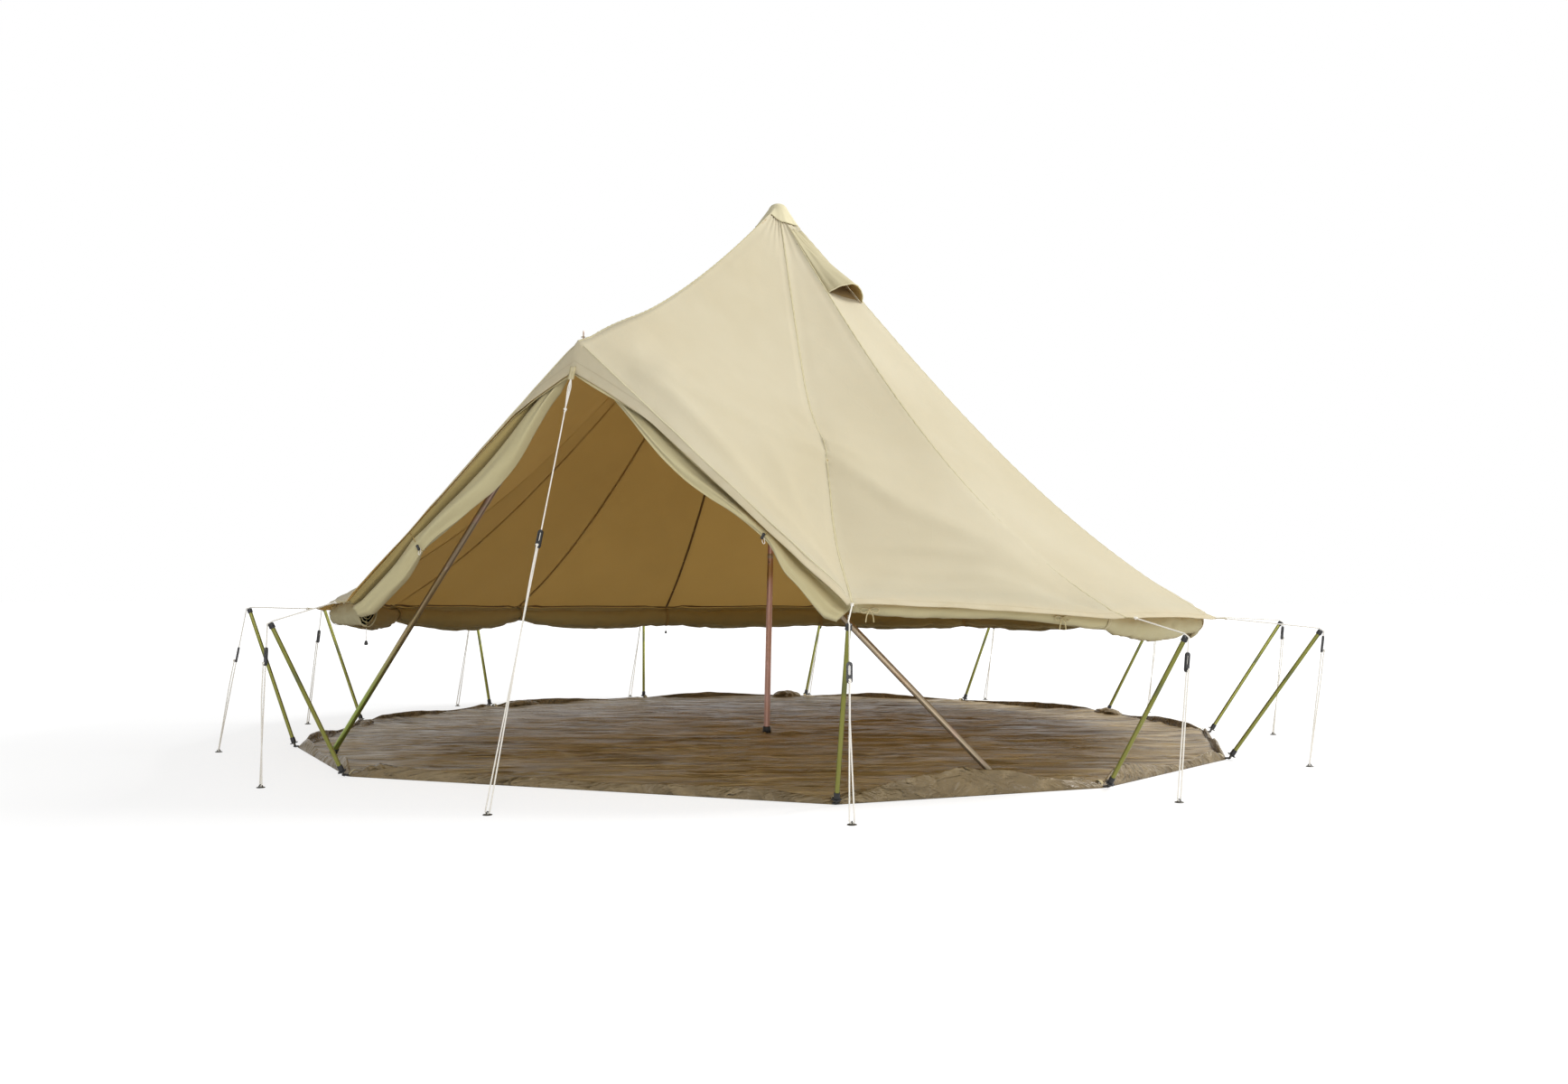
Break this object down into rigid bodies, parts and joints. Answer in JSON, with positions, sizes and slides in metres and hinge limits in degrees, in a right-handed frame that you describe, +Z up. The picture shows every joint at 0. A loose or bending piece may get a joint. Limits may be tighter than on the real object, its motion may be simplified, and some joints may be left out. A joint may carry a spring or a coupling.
{
  "type": "bell tent",
  "caption": "Canvas bell tent on a centre pole, with an A-frame doorway, rolled-up walls, a bucket groundsheet, side poles and guy ropes with sliding runners.",
  "frame": {"origin": "on the ground, in the middle of the ring of side-pole feet, under the groundsheet", "axes": "+Z up, doorway facing -Y, +X to the right of someone who stands outside and looks in at the doorway"},
  "size_m": [5.703, 5.6765, 3.01],
  "materials": {
    "canvas": "woven cotton canvas, matt",
    "canvas_inside": "woven cotton canvas in shade, matt",
    "groundsheet_cloth": "coated woven sheet, slight sheen",
    "passivated_tube": "yellow zinc-passivated steel tube",
    "bronze_tube": "iridescent zinc-passivated steel tube",
    "guy_rope": "braided cotton rope",
    "black_plastic": "moulded, satin"
  },
  "bodies": {
    "tent": {"roof_canopy": "canvas", "peak_cap": "canvas", "vent_hood_right": "canvas", "vent_hood_back": "canvas", "vent_hood_left": "canvas", "wall_roll": "canvas_inside", "door_roll_right": "canvas_inside", "door_roll_left": "canvas_inside", "groundsheet": "groundsheet_cloth", "centre_pole_lower": "bronze_tube", "centre_pole_middle": "bronze_tube", "centre_pole_upper": "bronze_tube", "a_frame_hub": "bronze_tube", "a_frame_right_lower": "bronze_tube", "a_frame_right_upper": "bronze_tube", "a_frame_left_lower": "bronze_tube", "a_frame_left_upper": "bronze_tube", "side_pole_01": "passivated_tube", "side_pole_02": "passivated_tube", "side_pole_03": "passivated_tube", "side_pole_04": "passivated_tube", "side_pole_05": "passivated_tube", "side_pole_06": "passivated_tube", "side_pole_07": "passivated_tube", "side_pole_08": "passivated_tube", "side_pole_09": "passivated_tube", "side_pole_10": "passivated_tube", "side_pole_11": "passivated_tube", "side_pole_12": "passivated_tube", "guy_rope_01": "guy_rope", "guy_rope_02": "guy_rope", "guy_rope_03": "guy_rope", "guy_rope_04": "guy_rope", "guy_rope_05": "guy_rope", "guy_rope_06": "guy_rope", "guy_rope_07": "guy_rope", "guy_rope_08": "guy_rope", "guy_rope_09": "guy_rope", "guy_rope_10": "guy_rope", "guy_rope_11": "guy_rope", "guy_rope_12": "guy_rope", "guy_rope_front": "guy_rope", "door_toggle_right": "black_plastic", "door_toggle_left": "black_plastic"},
    "runner_01": {"rope_runner_01": "black_plastic"},
    "runner_02": {"rope_runner_02": "black_plastic"},
    "runner_03": {"rope_runner_03": "black_plastic"},
    "runner_04": {"rope_runner_04": "black_plastic"},
    "runner_05": {"rope_runner_05": "black_plastic"},
    "runner_06": {"rope_runner_06": "black_plastic"},
    "runner_07": {"rope_runner_07": "black_plastic"},
    "runner_08": {"rope_runner_08": "black_plastic"},
    "runner_09": {"rope_runner_09": "black_plastic"},
    "runner_10": {"rope_runner_10": "black_plastic"},
    "runner_11": {"rope_runner_11": "black_plastic"},
    "runner_12": {"rope_runner_12": "black_plastic"},
    "runner_front": {"rope_runner_front": "black_plastic"},
    "toggle_right": {"hanging_toggle_right": "black_plastic"},
    "toggle_back": {"hanging_toggle_back": "black_plastic"},
    "toggle_left": {"hanging_toggle_left": "black_plastic"}
  },
  "joints": [
    {"name": "runner_slide_01", "type": "slide", "parent": "tent", "child": "runner_01", "axis": [-0.0481, 0.1627, 0.9855], "range_m": [-0.09, 0.08]},
    {"name": "runner_slide_02", "type": "slide", "parent": "tent", "child": "runner_02", "axis": [0.0719, 0.0708, 0.9949], "range_m": [-0.09, 0.03]},
    {"name": "runner_slide_03", "type": "slide", "parent": "tent", "child": "runner_03", "axis": [0.1168, 0.1329, 0.9842], "range_m": [-0.09, 0]},
    {"name": "runner_slide_04", "type": "slide", "parent": "tent", "child": "runner_04", "axis": [0.0912, 0.2051, 0.9745], "range_m": [-0.09, 0]},
    {"name": "runner_slide_05", "type": "slide", "parent": "tent", "child": "runner_05", "axis": [0.0721, 0.1736, 0.9822], "range_m": [-0.09, 0.04]},
    {"name": "runner_slide_06", "type": "slide", "parent": "tent", "child": "runner_06", "axis": [0.0761, 0.1763, 0.9814], "range_m": [-0.09, 0.03]},
    {"name": "runner_slide_07", "type": "slide", "parent": "tent", "child": "runner_07", "axis": [0.0969, 0.1831, 0.9783], "range_m": [-0.09, 0.05]},
    {"name": "runner_slide_08", "type": "slide", "parent": "tent", "child": "runner_08", "axis": [0.0619, 0.1621, 0.9848], "range_m": [-0.09, 0.03]},
    {"name": "runner_slide_09", "type": "slide", "parent": "tent", "child": "runner_09", "axis": [0.058, 0.1482, 0.9873], "range_m": [-0.09, 0.04]},
    {"name": "runner_slide_10", "type": "slide", "parent": "tent", "child": "runner_10", "axis": [0.0269, 0.1207, 0.9923], "range_m": [-0.09, 0.09]},
    {"name": "runner_slide_11", "type": "slide", "parent": "tent", "child": "runner_11", "axis": [0.0621, 0.1797, 0.9818], "range_m": [-0.09, 0.15]},
    {"name": "runner_slide_12", "type": "slide", "parent": "tent", "child": "runner_12", "axis": [-0.0456, 0.1005, 0.9939], "range_m": [-0.09, 0.06]},
    {"name": "runner_slide_front", "type": "slide", "parent": "tent", "child": "runner_front", "axis": [0.0051, 0.3398, 0.9405], "range_m": [-0.09, 0.4]},
    {"name": "toggle_swing_right", "type": "hinge", "parent": "tent", "child": "toggle_right", "pos_m": [1.1339, -2.1253, 0.7172], "axis": [1, 0, 0], "range_deg": [-50, 50]},
    {"name": "toggle_swing_back", "type": "hinge", "parent": "tent", "child": "toggle_back", "pos_m": [-1.4577, 1.7927, 0.5622], "axis": [0.7507, 0.6607, 0], "range_deg": [-50, 50]},
    {"name": "toggle_swing_left", "type": "hinge", "parent": "tent", "child": "toggle_left", "pos_m": [-1.0977, -2.1262, 0.6418], "axis": [1, 0, 0], "range_deg": [-50, 50]}
  ]
}
